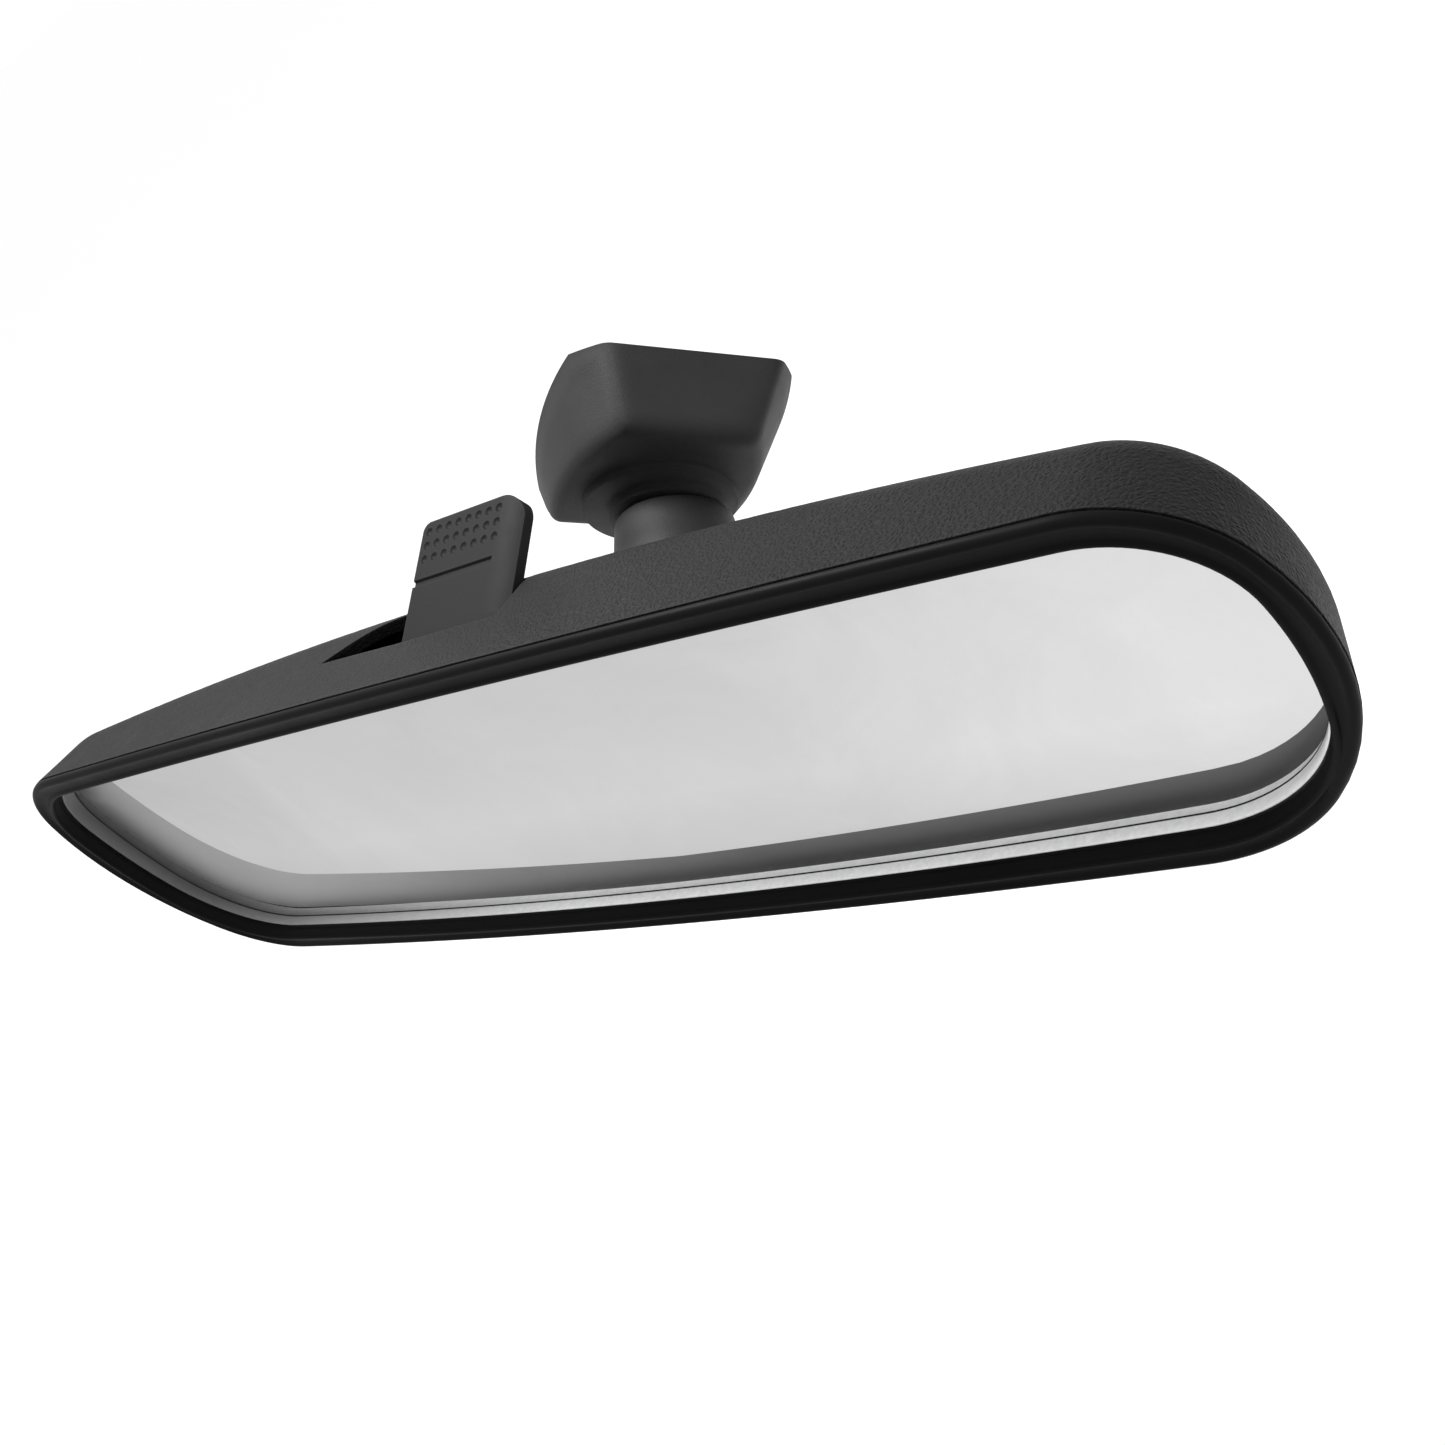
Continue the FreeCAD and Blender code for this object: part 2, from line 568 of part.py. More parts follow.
inner_floor = foot_base + cover_wall
bracket = Part.makeBox(28.0, bracket_near + bracket_far, bracket_thick, V(-11.0, -bracket_near, inner_floor))
for side_w in (-bracket_near, bracket_far - bracket_thick):
    bracket = bracket.fuse(Part.makeBox(28.0, bracket_thick, 30.0, V(-11.0, side_w, inner_floor)))
bracket = bracket.cut(Part.makeCylinder(shank_r + run_gap, 10, V(0, 0, inner_floor - 2)))
bracket = bracket.common(below_screen(-pad_thick - button_thick)).removeSplitter()
nodes["foot_bracket"] = in_foot(bracket)

washer_low = inner_floor + bracket_thick
washer = Part.makeCylinder(10.0, 0.7, V(0, 0, washer_low))
washer = washer.cut(Part.makeCylinder(shank_r, 3, V(0, 0, washer_low - 1)))
nodes["friction_washer"] = in_foot(washer)
nut_low = washer_low + 0.7
hexagon = [V(9.4 * math.cos(math.radians(60 * k)), 9.4 * math.sin(math.radians(60 * k)), nut_low)
           for k in range(6)]
nut = polygon(hexagon).extrude(V(0, 0, shank_top - nut_low))
nodes["arm_nut"] = in_foot(nut.cut(Part.makeCylinder(shank_r, 20, V(0, 0, nut_low - 5))))

# rubber stops between the carrier and the frame, and the lever's leaf spring
for side, sx in (("left", -1), ("right", 1)):
    stop = rod(2.4, V(sx * 26.0, frame_front + frame_thick, 12.0), V(sx * 26.0, 9.9, 12.0))
    nodes["stop_pad_" + side] = stop
spring_low = frame_front + frame_thick
nodes["lever_spring"] = block(7.0, 11.0, spring_low, spring_low + 0.5, 12.0, 26.0)

# ---------------------------------------------------------------- move to the mounting point and write
mount_point = foot_frame.multVec(pad_spot)
mount_axis = foot_frame.Rotation.multVec(normal_turn.multVec(V(0, 0, 1)))
for name, shape in nodes.items():
    placed = shape.translated(mount_point * -1.0)
    placed.exportStep("parts/" + name + ".step")
    print("%-20s solids %d  volume %9.1f  valid %s"
          % (name, len(placed.Solids), placed.Volume, placed.isValid()))
print("ball", ball - mount_point)
print("arm axis", ARM)
print("glass centre", mount_point * -1.0)
print("mount axis", mount_axis)
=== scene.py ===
import json
import math

import bpy
from mathutils import Matrix, Vector


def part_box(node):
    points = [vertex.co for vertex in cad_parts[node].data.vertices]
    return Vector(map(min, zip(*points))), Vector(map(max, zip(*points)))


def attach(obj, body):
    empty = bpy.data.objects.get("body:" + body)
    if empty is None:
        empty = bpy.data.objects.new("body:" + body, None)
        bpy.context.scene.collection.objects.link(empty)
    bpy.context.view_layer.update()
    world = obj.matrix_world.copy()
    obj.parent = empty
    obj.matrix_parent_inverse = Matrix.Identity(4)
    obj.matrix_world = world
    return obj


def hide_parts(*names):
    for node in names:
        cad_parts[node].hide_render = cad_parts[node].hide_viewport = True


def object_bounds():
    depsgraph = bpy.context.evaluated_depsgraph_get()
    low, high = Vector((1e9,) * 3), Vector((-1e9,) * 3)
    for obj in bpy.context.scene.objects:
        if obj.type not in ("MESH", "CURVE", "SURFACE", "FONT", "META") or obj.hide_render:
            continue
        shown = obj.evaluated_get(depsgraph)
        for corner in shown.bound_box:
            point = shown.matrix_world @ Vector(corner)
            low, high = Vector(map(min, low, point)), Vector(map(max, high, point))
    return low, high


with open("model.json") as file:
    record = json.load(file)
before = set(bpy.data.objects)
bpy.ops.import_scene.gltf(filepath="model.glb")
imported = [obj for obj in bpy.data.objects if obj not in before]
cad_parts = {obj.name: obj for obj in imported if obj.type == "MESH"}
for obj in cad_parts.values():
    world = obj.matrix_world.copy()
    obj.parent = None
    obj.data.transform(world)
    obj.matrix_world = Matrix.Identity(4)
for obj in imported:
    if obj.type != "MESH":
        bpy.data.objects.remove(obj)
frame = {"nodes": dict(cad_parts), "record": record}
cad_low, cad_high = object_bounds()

# Sizes are in millimetres until a mesh is made.  The mirror's own axes: X along it,
# Y backwards from the front of the glass, Z towards the lever edge.
MM = 0.001

# ---- outlines of the rim and of the glass ----
RIM = {"top": 34.7, "bottom": 34.2, "side": 126.6, "side_z": 5.0, "r_up": 4500.0, "r_down": 1400.0,
       "r_side": 42.0, "c_up": 19.6, "c_down": 27.0}
SIGHT = {"top": 30.2, "bottom": 31.0, "side": 122.5, "side_z": 4.0, "r_up": 4000.0, "r_down": 1150.0,
         "r_side": 62.0, "c_up": 16.8, "c_down": 24.5}
glass_lap = 0.9
glass_thin = 2.2
glass_thick = 3.6

# ---- silvered face ----
# Half the length of its painted reflection ramp (and of the glass edge's painted shade), and where its
# painted low shade starts and ends below the middle, in metres.
painted_ramp_reach = 0.125
low_shade_from = 0.026
low_shade_to = 0.006
# Lines that bound the painted reflection strips along the low border, and how far each is shifted.
strip_depths = (0.0, 1.9, 7.8, 8.6)
shift_right = 1.56
shift_right_run = 106.0
shift_up = 1.2
shift_up_run = 170.0

# ---- bezel ----
parting = -1.6
rim_front = -3.2
rim_round = 1.1
lip_front = -2.6

glass_low_corner, glass_high_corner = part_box("mirror_glass")
centre = Vector(((glass_low_corner.x + glass_high_corner.x) / 2.0, glass_low_corner.y,
                 glass_low_corner.z + (SIGHT["bottom"] + glass_lap) * MM))


def place(x, y, z):
    """A point given in the mirror's own axes, in the row frame and in metres."""
    return centre + Vector((x, y, z)) * MM


# ---------------------------------------------------------------- materials
def new_material(name):
    mat = bpy.data.materials.new(name)
    mat.use_nodes = True
    tree = mat.node_tree
    shader = tree.nodes["Principled BSDF"]
    return mat, tree, shader


def add(tree, kind, **values):
    node = tree.nodes.new(kind)
    for key, value in values.items():
        if key in node.inputs:
            node.inputs[key].default_value = value
        else:
            setattr(node, key, value)
    return node


def ramp(tree, source, low, high, start=0.35, end=0.65):
    """Maps a grey value onto a range of grey values or colours."""
    node = add(tree, "ShaderNodeValToRGB")
    for element, position, value in zip(node.color_ramp.elements, (start, end), (low, high)):
        element.position = position
        element.color = (*value, 1.0) if isinstance(value, tuple) else (value, value, value, 1.0)
    tree.links.new(source, node.inputs["Fac"])
    return node.outputs["Color"]


def edge_mask(tree, radius):
    """White along outer edges, from how far the rounded normal leaves the flat one."""
    soft = add(tree, "ShaderNodeBevel", Radius=radius, samples=4)
    hard = add(tree, "ShaderNodeNewGeometry")
    dot = add(tree, "ShaderNodeVectorMath", operation="DOT_PRODUCT")
    tree.links.new(soft.outputs["Normal"], dot.inputs[0])
    tree.links.new(hard.outputs["Normal"], dot.inputs[1])
    return ramp(tree, dot.outputs["Value"], 1.0, 0.0, 0.90, 0.995)


def plastic(name, dark, light, rough, grain_size=0.0, grain_depth=0.0, wear=0.0, gloss=0.35,
            soft_edge=0.0004):
    """Moulded plastic: cell grain, fine noise, uneven sheen and slightly polished edges."""
    mat, tree, shader = new_material(name)
    coords = add(tree, "ShaderNodeTexCoord")
    blotch = add(tree, "ShaderNodeTexNoise", Scale=38.0, Detail=5.0, Roughness=0.6)
    fine = add(tree, "ShaderNodeTexNoise", Scale=1900.0, Detail=3.0, Roughness=0.55)
    for node in (blotch, fine):
        tree.links.new(coords.outputs["Object"], node.inputs["Vector"])
    colour = ramp(tree, blotch.outputs["Fac"], dark, light)
    if wear:
        mix = add(tree, "ShaderNodeMix", data_type="RGBA")
        amount = add(tree, "ShaderNodeMath", operation="MULTIPLY")
        amount.inputs[1].default_value = wear
        tree.links.new(edge_mask(tree, 0.0009), amount.inputs[0])
        tree.links.new(amount.outputs[0], mix.inputs["Factor"])
        tree.links.new(colour, mix.inputs["A"])
        mix.inputs["B"].default_value = (*[min(1.0, c * 2.4 + 0.01) for c in light], 1.0)
        colour = mix.outputs["Result"]
    tree.links.new(colour, shader.inputs["Base Color"])
    sheen = ramp(tree, blotch.outputs["Fac"], rough - 0.06, rough + 0.07)
    tree.links.new(sheen, shader.inputs["Roughness"])
    shader.inputs["Specular IOR Level"].default_value = gloss
    height = fine.outputs["Fac"]
    if grain_size:
        cells = add(tree, "ShaderNodeTexVoronoi", feature="DISTANCE_TO_EDGE", Scale=1.0 / grain_size)
        warp = add(tree, "ShaderNodeTexNoise", Scale=0.35 / grain_size, Detail=3.0, Roughness=0.7)
        shift = add(tree, "ShaderNodeVectorMath", operation="SCALE")
        shift.inputs["Scale"].default_value = grain_size * 1.6
        bend = add(tree, "ShaderNodeVectorMath", operation="ADD")
        tree.links.new(coords.outputs["Object"], warp.inputs["Vector"])
        tree.links.new(warp.outputs["Color"], shift.inputs[0])
        tree.links.new(coords.outputs["Object"], bend.inputs[0])
        tree.links.new(shift.outputs["Vector"], bend.inputs[1])
        tree.links.new(bend.outputs["Vector"], cells.inputs["Vector"])
        joined = add(tree, "ShaderNodeMath", operation="MULTIPLY_ADD")
        joined.inputs[1].default_value = 0.18
        tree.links.new(fine.outputs["Fac"], joined.inputs[0])
        tree.links.new(ramp(tree, cells.outputs["Distance"], 0.0, 1.0, 0.02, 0.32), joined.inputs[2])
        height = joined.outputs[0]
    bump = add(tree, "ShaderNodeBump", Strength=0.55)
    bump.inputs["Distance"].default_value = grain_depth if grain_depth else 0.000012
    tree.links.new(height, bump.inputs["Height"])
    if soft_edge:
        bevel = add(tree, "ShaderNodeBevel", Radius=soft_edge, samples=4)
        tree.links.new(bevel.outputs["Normal"], bump.inputs["Normal"])
    tree.links.new(bump.outputs["Normal"], shader.inputs["Normal"])
    return mat


def metal(name, dark, light, rough, stretch=(1.0, 1.0, 1.0)):
    """Plated or oiled steel with drawn-out scratches and cloudy sheen."""
    mat, tree, shader = new_material(name)
    coords = add(tree, "ShaderNodeTexCoord")
    mapping = add(tree, "ShaderNodeMapping")
    mapping.inputs["Scale"].default_value = stretch
    tree.links.new(coords.outputs["Object"], mapping.inputs["Vector"])
    clouds = add(tree, "ShaderNodeTexNoise", Scale=160.0, Detail=6.0, Roughness=0.65)
    lines = add(tree, "ShaderNodeTexNoise", Scale=2400.0, Detail=2.0)
    for node in (clouds, lines):
        tree.links.new(mapping.outputs["Vector"], node.inputs["Vector"])
    tree.links.new(ramp(tree, clouds.outputs["Fac"], dark, light), shader.inputs["Base Color"])
    sheen = ramp(tree, clouds.outputs["Fac"], rough - 0.08, rough + 0.1)
    tree.links.new(sheen, shader.inputs["Roughness"])
    shader.inputs["Metallic"].default_value = 1.0
    bump = add(tree, "ShaderNodeBump", Strength=0.35)
    bump.inputs["Distance"].default_value = 0.00002
    tree.links.new(lines.outputs["Fac"], bump.inputs["Height"])
    tree.links.new(bump.outputs["Normal"], shader.inputs["Normal"])
    return mat


def along(tree, axis, start, end):
    """Share of the way between two places on one axis of the piece's own mesh, from 0 to 1."""
    coords = add(tree, "ShaderNodeTexCoord")
    parts = add(tree, "ShaderNodeSeparateXYZ")
    span = add(tree, "ShaderNodeMapRange")
    span.inputs["From Min"].default_value = start
    span.inputs["From Max"].default_value = end
    tree.links.new(coords.outputs["Object"], parts.inputs["Vector"])
    tree.links.new(parts.outputs[axis], span.inputs["Value"])
    return span.outputs["Result"]


def mirror_material(name, stops, painted_low_shade, clear, smeared):
    """Silvered face: a painted reflection that ramps along it, painted shade towards the low edge, faint
    smears and dust.
    """
    mat, tree, shader = new_material(name)
    coords = add(tree, "ShaderNodeTexCoord")
    smear = add(tree, "ShaderNodeTexNoise", Scale=24.0, Detail=7.0, Roughness=0.7, Distortion=1.4)
    specks = add(tree, "ShaderNodeTexVoronoi", Scale=210.0)
    for node in (smear, specks):
        tree.links.new(coords.outputs["Object"], node.inputs["Vector"])
    # Painted reflection: the face's colour ramps lighter or darker along its length.
    painted_reflection_ramp = add(tree, "ShaderNodeValToRGB")
    while len(painted_reflection_ramp.color_ramp.elements) < len(stops):
        painted_reflection_ramp.color_ramp.elements.new(0.5)
    for element, (spot, grey) in zip(painted_reflection_ramp.color_ramp.elements, stops):
        element.position = spot
        element.color = (grey, grey, grey, 1.0)
    wander = add(tree, "ShaderNodeMath", operation="MULTIPLY_ADD")
    wander.inputs[1].default_value = 0.12
    tree.links.new(smear.outputs["Fac"], wander.inputs[0])
    tree.links.new(along(tree, "X", centre.x - painted_ramp_reach, centre.x + painted_ramp_reach), wander.inputs[2])
    tree.links.new(wander.outputs[0], painted_reflection_ramp.inputs["Fac"])
    cloud = add(tree, "ShaderNodeMix", data_type="RGBA", blend_type="MULTIPLY")
    cloud.inputs["Factor"].default_value = 1.0
    tree.links.new(painted_reflection_ramp.outputs["Color"], cloud.inputs["A"])
    tree.links.new(ramp(tree, smear.outputs["Fac"], 0.93, 1.0, 0.3, 0.7), cloud.inputs["B"])
    # Painted shade: the face grows darker towards its low edge.
    painted_low_shade_mix = add(tree, "ShaderNodeMix", data_type="RGBA", blend_type="MULTIPLY")
    painted_low_shade_mix.inputs["Factor"].default_value = 1.0
    tree.links.new(cloud.outputs["Result"], painted_low_shade_mix.inputs["A"])
    rise = along(tree, "Z", centre.z - low_shade_from, centre.z - low_shade_to)
    tree.links.new(ramp(tree, rise, painted_low_shade, 1.0, 0.0, 1.0), painted_low_shade_mix.inputs["B"])
    tree.links.new(painted_low_shade_mix.outputs["Result"], shader.inputs["Base Color"])
    dust = ramp(tree, specks.outputs["Distance"], 0.16, 0.0, 0.012, 0.05)
    haze = ramp(tree, smear.outputs["Fac"], clear, smeared, 0.45, 0.75)
    total = add(tree, "ShaderNodeMath", operation="ADD")
    tree.links.new(dust, total.inputs[0])
    tree.links.new(haze, total.inputs[1])
    tree.links.new(total.outputs[0], shader.inputs["Roughness"])
    shader.inputs["Metallic"].default_value = 1.0
    return mat


def soft_material(name, dark, light, scale):
    """Foam, rubber or adhesive film: open cells, matt and uneven."""
    mat, tree, shader = new_material(name)
    coords = add(tree, "ShaderNodeTexCoord")
    cells = add(tree, "ShaderNodeTexVoronoi", Scale=scale)
    clouds = add(tree, "ShaderNodeTexNoise", Scale=90.0, Detail=5.0)
    for node in (cells, clouds):
        tree.links.new(coords.outputs["Object"], node.inputs["Vector"])
    tree.links.new(ramp(tree, clouds.outputs["Fac"], dark, light), shader.inputs["Base Color"])
    tree.links.new(ramp(tree, clouds.outputs["Fac"], 0.75, 0.92), shader.inputs["Roughness"])
    shader.inputs["Specular IOR Level"].default_value = 0.2
    bump = add(tree, "ShaderNodeBump", Strength=0.6)
    bump.inputs["Distance"].default_value = 0.00008
    tree.links.new(cells.outputs["Distance"], bump.inputs["Height"])
    tree.links.new(bump.outputs["Normal"], shader.inputs["Normal"])
    return mat


def frosted_edge():
    """Ground edge of the glass: pale, matt and slightly green, with painted shade towards its left end.
    """
    mat, tree, shader = new_material("ground_glass_edge_painted_shade")
    coords = add(tree, "ShaderNodeTexCoord")
    grind = add(tree, "ShaderNodeTexNoise", Scale=900.0, Detail=4.0, Roughness=0.7)
    tree.links.new(coords.outputs["Object"], grind.inputs["Vector"])
    cloud = add(tree, "ShaderNodeMix", data_type="RGBA", blend_type="MULTIPLY")
    cloud.inputs["Factor"].default_value = 1.0
    pale = ramp(tree, grind.outputs["Fac"], (0.78, 0.785, 0.78), (0.90, 0.905, 0.90))
    tree.links.new(pale, cloud.inputs["A"])
    # Painted shade: the ground edge grows darker towards its left end.
    painted_left_shade = along(tree, "X", centre.x - painted_ramp_reach, centre.x + painted_ramp_reach)
    tree.links.new(ramp(tree, painted_left_shade, 0.10, 1.0, 0.02, 0.42), cloud.inputs["B"])
    tree.links.new(cloud.outputs["Result"], shader.inputs["Base Color"])
    tree.links.new(ramp(tree, grind.outputs["Fac"], 0.45, 0.65), shader.inputs["Roughness"])
    bump = add(tree, "ShaderNodeBump", Strength=0.4)
    bump.inputs["Distance"].default_value = 0.00003
    tree.links.new(grind.outputs["Fac"], bump.inputs["Height"])
    tree.links.new(bump.outputs["Normal"], shader.inputs["Normal"])
    return mat


grained = plastic("grained_black_plastic", (0.0054, 0.0054, 0.0056), (0.0086, 0.0086, 0.0088), 0.58,
                  grain_size=0.00085, grain_depth=0.00025, wear=0.25, gloss=0.09)
foot_skin = plastic("foot_black_plastic", (0.0110, 0.0110, 0.0112), (0.0175, 0.0175, 0.0178), 0.58,
                    grain_size=0.0006, grain_depth=0.000025, wear=0.0, gloss=0.2, soft_edge=0.0055)
bezel_skin = plastic("bezel_black_plastic", (0.0028, 0.0028, 0.0029), (0.0042, 0.0042, 0.0043), 0.46,
                     wear=0.1, gloss=0.04)
lever_skin = plastic("lever_black_plastic", (0.0050, 0.0050, 0.0052), (0.0078, 0.0078, 0.0080), 0.58,
                     grain_size=0.0005, grain_depth=0.000015, wear=0.15, gloss=0.08, soft_edge=0.0002)
inner_skin = plastic("inner_nylon", (0.05, 0.05, 0.052), (0.075, 0.075, 0.078), 0.55,
                     grain_size=0.0012, grain_depth=0.00003, wear=0.2)
seat_skin = plastic("natural_acetal", (0.60, 0.58, 0.52), (0.72, 0.70, 0.64), 0.42, wear=0.1)
zinc = metal("zinc_plated_steel", (0.45, 0.44, 0.40), (0.66, 0.65, 0.61), 0.34)
dark_steel = metal("black_oxide_steel", (0.05, 0.05, 0.055), (0.10, 0.10, 0.105), 0.38)
spring_steel = metal("spring_steel", (0.34, 0.34, 0.33), (0.52, 0.52, 0.50), 0.28, (1.0, 1.0, 8.0))
foam = soft_material("closed_cell_foam", (0.03, 0.03, 0.032), (0.055, 0.055, 0.058), 1400.0)
rubber = soft_material("soft_rubber", (0.018, 0.018, 0.018), (0.030, 0.030, 0.030), 2600.0)
film = soft_material("adhesive_film", (0.16, 0.16, 0.17), (0.24, 0.24, 0.25), 1800.0)
# The colour ramps of these three mirror materials are painted reflection: the bright and the shaded strip
# along the low border are painted reflections, and the low fade of the face is painted shade.
silver = mirror_material("silvered_glass_painted_reflection", ((0.05, 0.35), (0.35, 0.48), (0.75, 0.475), (1.0, 0.56)),
                         0.80, 0.008, 0.035)
painted_bright_reflection = mirror_material("painted_bright_reflection", ((0.0, 0.70), (0.5, 0.86), (1.0, 0.90)), 1.0, 0.01, 0.04)
painted_dark_reflection = mirror_material("painted_dark_reflection", ((0.1, 0.34), (0.32, 0.25), (0.5, 0.15), (0.68, 0.10)),
                                1.0, 0.38, 0.46)
ground = frosted_edge()

by_slot = {
    "grained_black": grained, "bezel_black": bezel_skin, "lever_grey": lever_skin,
    "mirror_coating": silver, "mirror_glass": ground, "inner_plastic": inner_skin,
    "seat_plastic": seat_skin, "zinc_steel": zinc, "dark_steel": dark_steel,
    "spring_steel": spring_steel, "foam": foam, "rubber": rubber, "adhesive": film,
}
for entry in frame["record"]["subparts"]:
    node = frame["nodes"][entry["node"]]
    mat = by_slot[entry["material_slot"]]
    if entry["node"] in ("foot_cover", "arm_collar"):
        mat = foot_skin
    node.data.materials.clear()
    node.data.materials.append(mat)


# ---------------------------------------------------------------- outlines and lofts
def meet(c1, r1, c2, r2, outer):
    """Crossing point of two circles, on the side away from the middle."""
    dx = c2[0] - c1[0]
    dz = c2[1] - c1[1]
    gap = math.hypot(dx, dz)
    ahead = (gap * gap + r1 * r1 - r2 * r2) / (2.0 * gap)
    side = math.sqrt(max(r1 * r1 - ahead * ahead, 0.0))
    base = (c1[0] + dx * ahead / gap, c1[1] + dz * ahead / gap)
    picks = [(base[0] + s * side * dz / gap, base[1] - s * side * dx / gap) for s in (1, -1)]
    return max(picks, key=outer)


def outline(shape, inset):
    """Points of a closed outline, drawn in by the inset: always as many, in the same order."""
    top_c = (0.0, shape["top"] - shape["r_up"])
    low_c = (0.0, shape["r_down"] - shape["bottom"])
    side_c = (shape["side"] - shape["r_side"], shape["side_z"])
    r_top = shape["r_up"] - inset
    r_low = shape["r_down"] - inset
    r_side = shape["r_side"] - inset
    c_up = shape["c_up"] - inset
    c_low = shape["c_down"] - inset
    up = meet(top_c, r_top - c_up, side_c, r_side - c_up, lambda p: p[0] + p[1])
    low = meet(low_c, r_low - c_low, side_c, r_side - c_low, lambda p: p[0] - p[1])

    def angle(a, b):
        return math.atan2(b[1] - a[1], b[0] - a[0])

    arcs = [(top_c, r_top, math.pi / 2, angle(top_c, up), 40),
            (up, c_up, angle(top_c, up), angle(side_c, up), 18),
            (side_c, r_side, angle(side_c, up), angle(side_c, low), 12),
            (low, c_low, angle(side_c, low), angle(low_c, low), 22),
            (low_c, r_low, angle(low_c, low), -math.pi / 2, 44)]
    right = []
    for c, r, start, end, count in arcs:
        for k in range(count):
            a = start + (end - start) * k / count
            right.append((c[0] + r * math.cos(a), c[1] + r * math.sin(a)))
    right.append((0.0, inset - shape["bottom"]))
    return right + [(-x, z) for x, z in reversed(right[1:-1])]


def between(first, second, share):
    return [(a[0] + (b[0] - a[0]) * share, a[1] + (b[1] - a[1]) * share)
            for a, b in zip(first, second)]


def new_object(name, points, faces, mat, smooth=True):
    mesh = bpy.data.meshes.new(name)
    mesh.from_pydata([tuple(p) for p in points], [], faces)
    mesh.validate()
    mesh.update()
    mesh.materials.append(mat)
    obj = bpy.data.objects.new(name, mesh)
    bpy.context.scene.collection.objects.link(obj)
    if smooth:
        for polygon in mesh.polygons:
            polygon.use_smooth = True
    return obj


def loft(name, rings, mat, closed=False):
    """Skin through rings with equal numbers of points."""
    count = len(rings[0])
    points = [p for ring in rings for p in ring]
    faces = []
    spans = len(rings) if closed else len(rings) - 1
    for i in range(spans):
        j = (i + 1) % len(rings)
        for k in range(count):
            n = (k + 1) % count
            faces.append((i * count + k, i * count + n, j * count + n, j * count + k))
    return new_object(name, points, faces, mat)


def coating_y(z):
    """Depth of the silvered rear face of the wedge glass at a height."""
    low = -SIGHT["bottom"] - glass_lap
    high = SIGHT["top"] + glass_lap
    return glass_thin + (glass_thick - glass_thin) * (z - low) / (high - low)


# ---------------------------------------------------------------- bezel ring
section = [(outline(RIM, 2.0), parting - 0.02), (outline(RIM, 0.45), parting - 0.02),
           (outline(RIM, 0.4), parting - 0.24), (outline(RIM, 0.1), parting - 0.3)]
round_steps = 10
for k in range(round_steps + 1):
    a = math.pi / 2 * k / round_steps
    depth = rim_front + rim_round * (1 - math.sin(a))
    section.append((outline(RIM, rim_round * (1 - math.cos(a))), depth))
face_outer = outline(RIM, rim_round)
face_inner = outline(SIGHT, -1.0)
face_steps = 8
face_dish = 0.25
for k in range(1, face_steps + 1):
    t = k / face_steps
    dip = face_dish * math.sin(math.pi * t)
    section.append((between(face_outer, face_inner, t), rim_front + (lip_front - rim_front) * t + dip))
lip_bead = ((-0.85, -2.8), (-0.6, -2.98), (-0.35, -2.98), (-0.12, -2.85), (0.0, -2.6))
wall_steps = ((0.02, -2.0), (0.14, -1.92), (0.16, -1.1), (0.28, -1.02), (0.30, 0.1), (0.2, 0.2),
              (-0.8, 0.2))
for inset, y in lip_bead + wall_steps:
    section.append((outline(SIGHT, inset), y))
rings = [[place(x, y, z) for x, z in line] for line, y in section]
bezel = loft("bezel_ring", rings, bezel_skin, closed=True)
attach(bezel, "housing")
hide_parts("front_bezel")


# ---------------------------------------------------------------- mirror face and glass edge
# The bright and the shaded strip are painted on the face.  They stand in for the reflected
# bezel, and don't move with the view.
def reach(line, angle):
    """Distance from the middle of the glass to a closed line, in one direction."""
    ray = (math.cos(angle), math.sin(angle))
    for p, q in zip(line, line[1:] + line[:1]):
        side_p = ray[0] * p[1] - ray[1] * p[0]
        side_q = ray[0] * q[1] - ray[1] * q[0]
        ahead = ray[0] * (p[0] + q[0]) + ray[1] * (p[1] + q[1])
        if side_p * side_q <= 0.0 and side_p != side_q and ahead > 0.0:
            share = side_p / (side_p - side_q)
            return math.hypot(p[0] + (q[0] - p[0]) * share, p[1] + (q[1] - p[1]) * share)
    return 0.0


def low_border(depth):
    """The outline of the face, moved up and to the right wherever that stays on the glass."""
    edge = outline(SIGHT, 0.0)
    moved = [(x + depth * (shift_right - x / shift_right_run),
              z + depth * (shift_up - min(x, 0.0) / shift_up_run)) for x, z in edge]
    line = []
    for x, z in edge:
        angle = math.atan2(z, x)
        radius = min(math.hypot(x, z), reach(moved, angle))
        line.append((radius * math.cos(angle), radius * math.sin(angle)))
    return line


face_lines = [outline(SIGHT, -0.6)] + [low_border(depth) for depth in strip_depths]
count = len(face_lines[0])
points = [place(x, coating_y(z), z) for line in face_lines for x, z in line]
middle = len(points)
points.append(place(0.0, coating_y(0.0), 0.0))
faces = []
kinds = []
ring_kinds = (0, 1, 2, 0)
for ring, kind in enumerate(ring_kinds):
    outer = ring * count
    inner = outer + count
    for k in range(count):
        n = (k + 1) % count
        faces.append((outer + n, outer + k, inner + k, inner + n))
        kinds.append(kind)
last = len(ring_kinds) * count
for k in range(count):
    faces.append((last + k, middle, last + (k + 1) % count))
    kinds.append(0)
mirror = new_object("mirror_face", points, faces, silver, smooth=False)
mirror.data.materials.append(painted_bright_reflection)
mirror.data.materials.append(painted_dark_reflection)
for polygon, kind in zip(mirror.data.polygons, kinds):
    polygon.material_index = kind
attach(mirror, "housing")
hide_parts("reflective_coating")

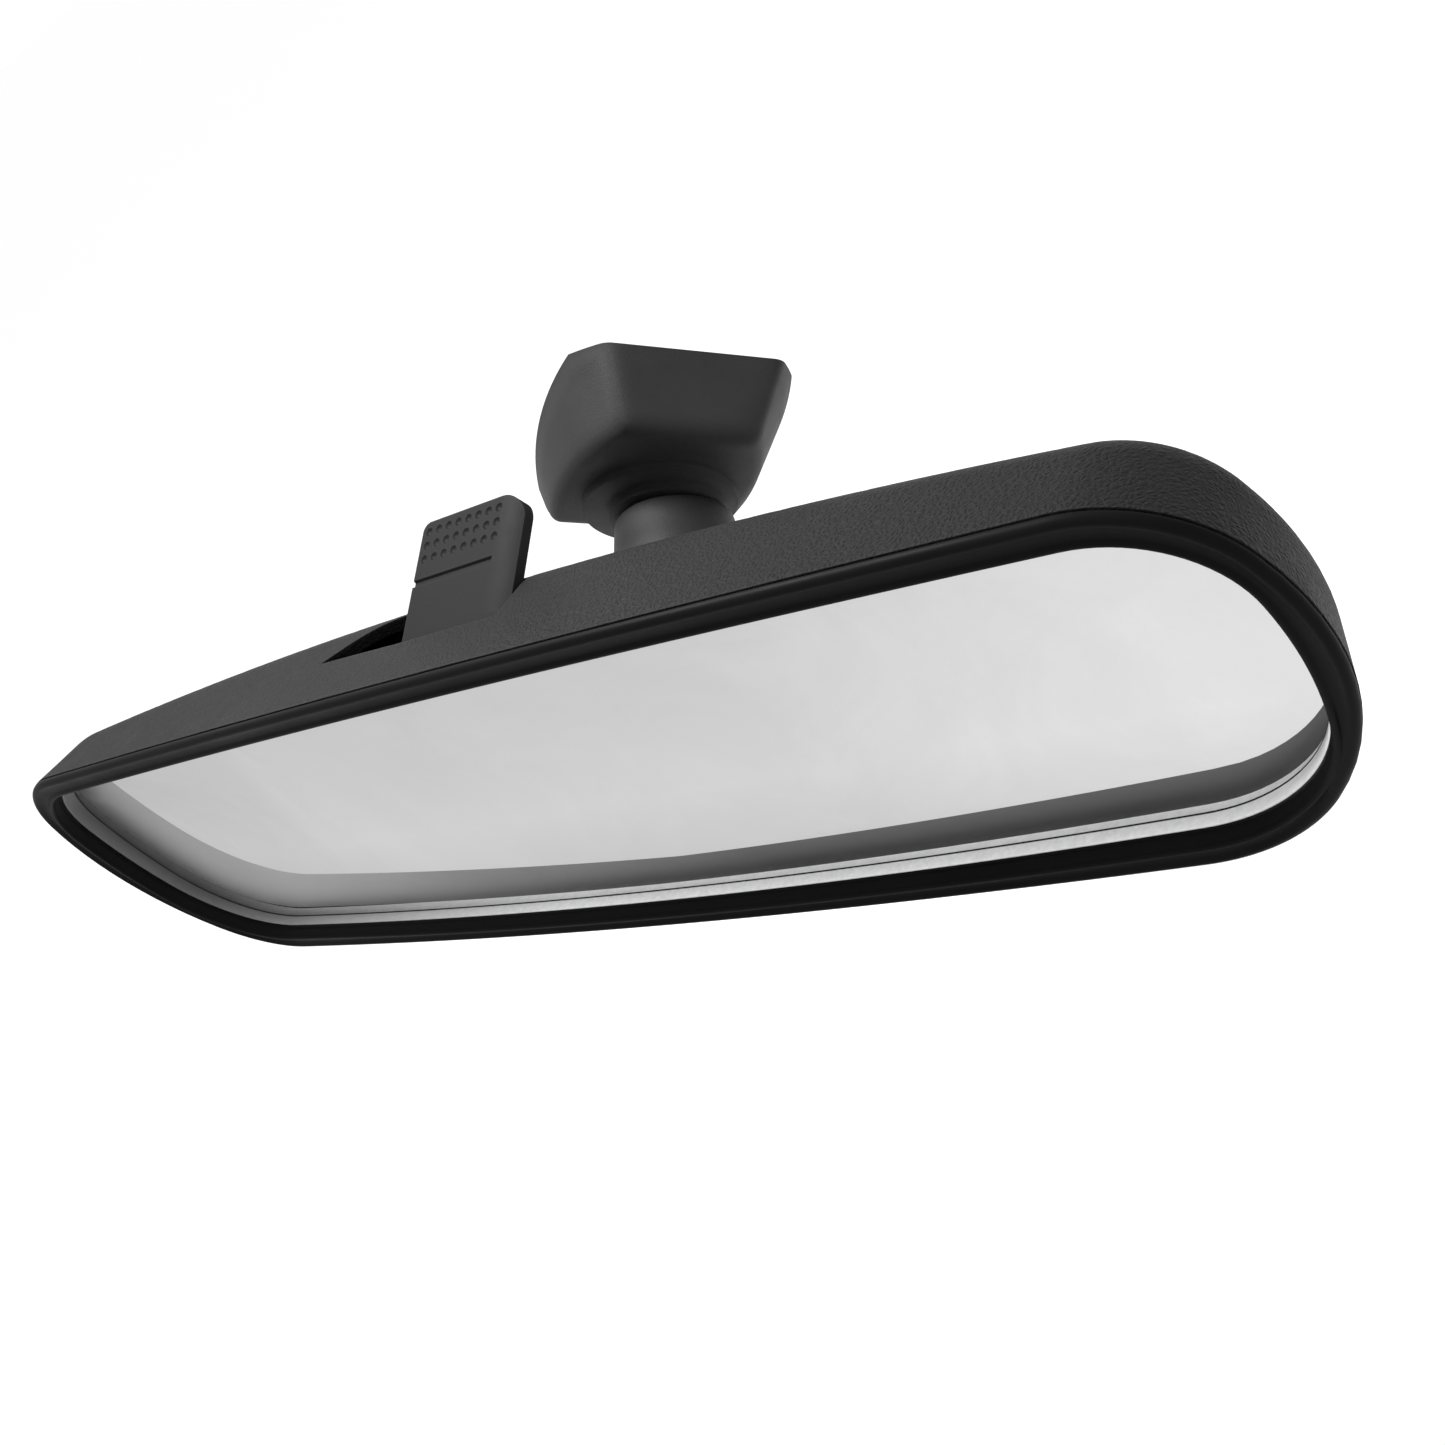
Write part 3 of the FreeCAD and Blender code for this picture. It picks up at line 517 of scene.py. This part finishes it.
edge_rings = []
seam_ring = 3
for inset, y in ((-0.3, 0.22), (0.36, 0.22), (0.5, 0.38)):
    edge_rings.append([place(x, y, z) for x, z in outline(SIGHT, inset)])
for inset, lift in ((0.5, 0.16), (0.42, 0.12), (0.42, -0.05)):
    edge_rings.append([place(x, coating_y(z) - lift, z) for x, z in outline(SIGHT, inset)])
glass_edge = loft("glass_edge", edge_rings, ground)
glass_edge.data.materials.append(rubber)
for polygon in glass_edge.data.polygons:
    if polygon.index >= seam_ring * count:
        polygon.material_index = 1
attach(glass_edge, "housing")
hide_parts("mirror_glass")


# ---------------------------------------------------------------- camera
def aim(yaw, pitch, roll):
    forward = Vector((-math.sin(yaw) * math.cos(pitch), math.cos(yaw) * math.cos(pitch), math.sin(pitch)))
    right = Vector((math.cos(yaw), math.sin(yaw), 0.0))
    up = right.cross(forward)
    side = right * math.cos(roll) + up * math.sin(roll)
    top = up * math.cos(roll) - right * math.sin(roll)
    return Matrix((side, top, -forward)).transposed()


camera_data = bpy.data.cameras.new("camera")
camera_data.sensor_width = 36.0
camera_data.lens = 35.18
camera_data.clip_start = 0.005
camera_data.clip_end = 100.0
camera = bpy.data.objects.new("camera", camera_data)
bpy.context.scene.collection.objects.link(camera)
eye = place(165.28, -106.41, 122.18)
camera.matrix_world = Matrix.Translation(eye) @ aim(0.8424, -0.6095, -0.7629).to_4x4()
bpy.context.scene.camera = camera

# ---------------------------------------------------------------- studio
floor_drop = 0.16
floor_z = cad_low.z - floor_drop
floor_radii = (1.0, 6.0, 40.0)
spokes = 48
points = [(r * math.cos(2 * math.pi * s / spokes), r * math.sin(2 * math.pi * s / spokes), floor_z)
          for r in floor_radii for s in range(spokes)]
points.append((0.0, 0.0, floor_z))
faces = [(len(points) - 1, s, (s + 1) % spokes) for s in range(spokes)]
for ring in range(len(floor_radii) - 1):
    for s in range(spokes):
        a = ring * spokes + s
        b = ring * spokes + (s + 1) % spokes
        faces.append((a, a + spokes, b + spokes, b))
floor_mat, _, floor_shader = new_material("pale_floor")
floor_shader.inputs["Base Color"].default_value = (0.965, 0.965, 0.965, 1.0)
floor_shader.inputs["Roughness"].default_value = 0.9
floor_shader.inputs["Specular IOR Level"].default_value = 0.1
floor = new_object("floor", points, faces, floor_mat)

world = bpy.data.worlds.new("studio")
world.use_nodes = True
world.node_tree.nodes["Background"].inputs["Color"].default_value = (1.0, 1.0, 1.0, 1.0)
world.node_tree.nodes["Background"].inputs["Strength"].default_value = 1.03
bpy.context.scene.world = world


def area_light(name, spot, target, size, power):
    data = bpy.data.lights.new(name, "AREA")
    data.shape = "DISK"
    data.size = size
    data.energy = power
    lamp = bpy.data.objects.new(name, data)
    bpy.context.scene.collection.objects.link(lamp)
    lamp.location = spot
    lamp.rotation_mode = "QUATERNION"
    lamp.rotation_quaternion = (Vector(target) - Vector(spot)).to_track_quat("-Z", "Y")
    return lamp


area_light("overhead", centre + Vector((-0.25, 0.1, 1.3)), centre, 1.1, 2.0)
area_light("left_key", centre + Vector((-1.2, 0.3, 0.9)), centre, 0.9, 2.0)
near_spot = centre + Vector((-0.03, 0.05, 0.21))
near_target = centre + Vector((-0.01, 0.02, 0.0))
near_key = area_light("near_key", near_spot, near_target, 0.07, 0.95)
near_key.visible_camera = False
bpy.context.scene.view_settings.view_transform = "Standard"
